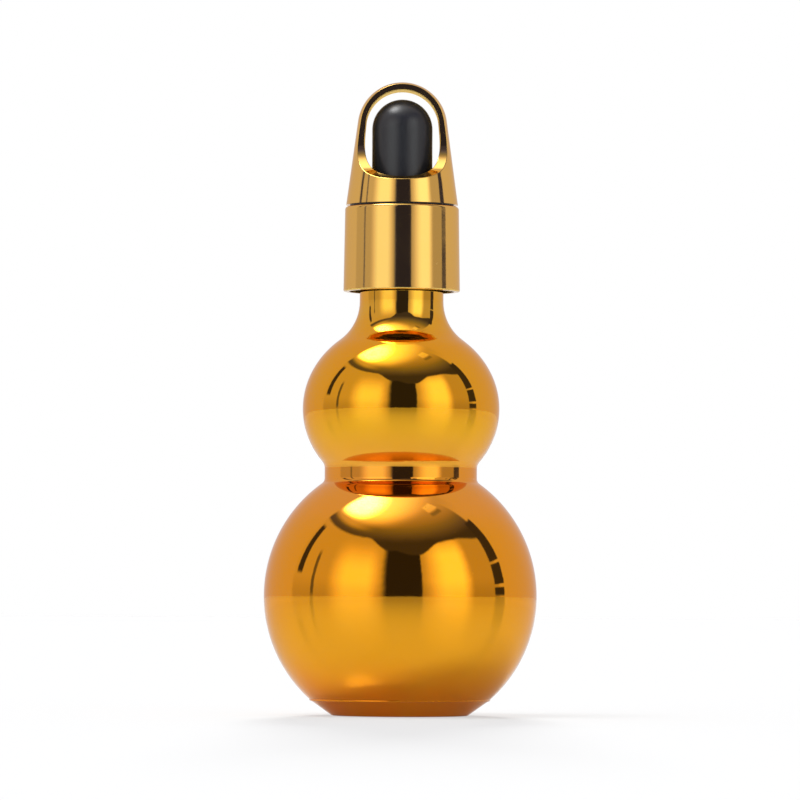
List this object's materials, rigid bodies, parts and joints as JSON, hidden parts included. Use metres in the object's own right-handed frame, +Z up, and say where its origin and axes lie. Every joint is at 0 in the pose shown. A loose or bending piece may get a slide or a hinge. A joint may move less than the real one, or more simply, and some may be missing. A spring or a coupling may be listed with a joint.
{
  "type": "dropper bottle",
  "caption": "Double-bulb glass dropper bottle with a screw cap, smooth collar, arched scooped basket, rubber squeeze bulb and glass pipette.",
  "frame": {"origin": "centre of the base, on the surface that the bottle stands on", "axes": "+Z up along the bottle's axis, -Y out of the front of the basket's scooped opening, X along the arch"},
  "size_m": [0.0528, 0.0528, 0.1227],
  "materials": {
    "plated_glass": "bright metallised deep orange gold outside, bare glass inside",
    "soft_plug": "milky translucent moulded plastic",
    "seal": "soft white foam, matt",
    "clear_glass": "clear drawn tube, fire polished",
    "black_rubber": "black moulded rubber, satin",
    "cap_plastic": "black moulded plastic",
    "plated_collar": "bright pale gold plating",
    "plated_basket": "bright pale gold plating"
  },
  "bodies": {
    "bottle": {"bottle": "plated_glass", "neck_wiper": "soft_plug"},
    "seal": {"sealing_washer": "seal"},
    "dropper": {"pipette": "clear_glass", "rubber_bulb": "black_rubber"},
    "cap": {"screw_cap": "cap_plastic", "collar_sleeve": "plated_collar", "basket": "plated_basket"}
  },
  "joints": [
    {"name": "lift_out", "type": "slide", "parent": "bottle", "child": "seal", "axis": [0, 0, 1], "range_m": [0, 0.09]},
    {"name": "thread_rise", "type": "slide", "parent": "seal", "child": "dropper", "axis": [0, 0, 1], "range_m": [0, 0.004]},
    {"name": "cap_turn", "type": "hinge", "parent": "dropper", "child": "cap", "pos_m": [0, 0, 0.09], "axis": [0, 0, 1], "range_deg": [0, 450]}
  ],
  "couplings": [
    {"joint": "thread_rise", "follows": "cap_turn", "m_per_rad": 0.0005053}
  ]
}
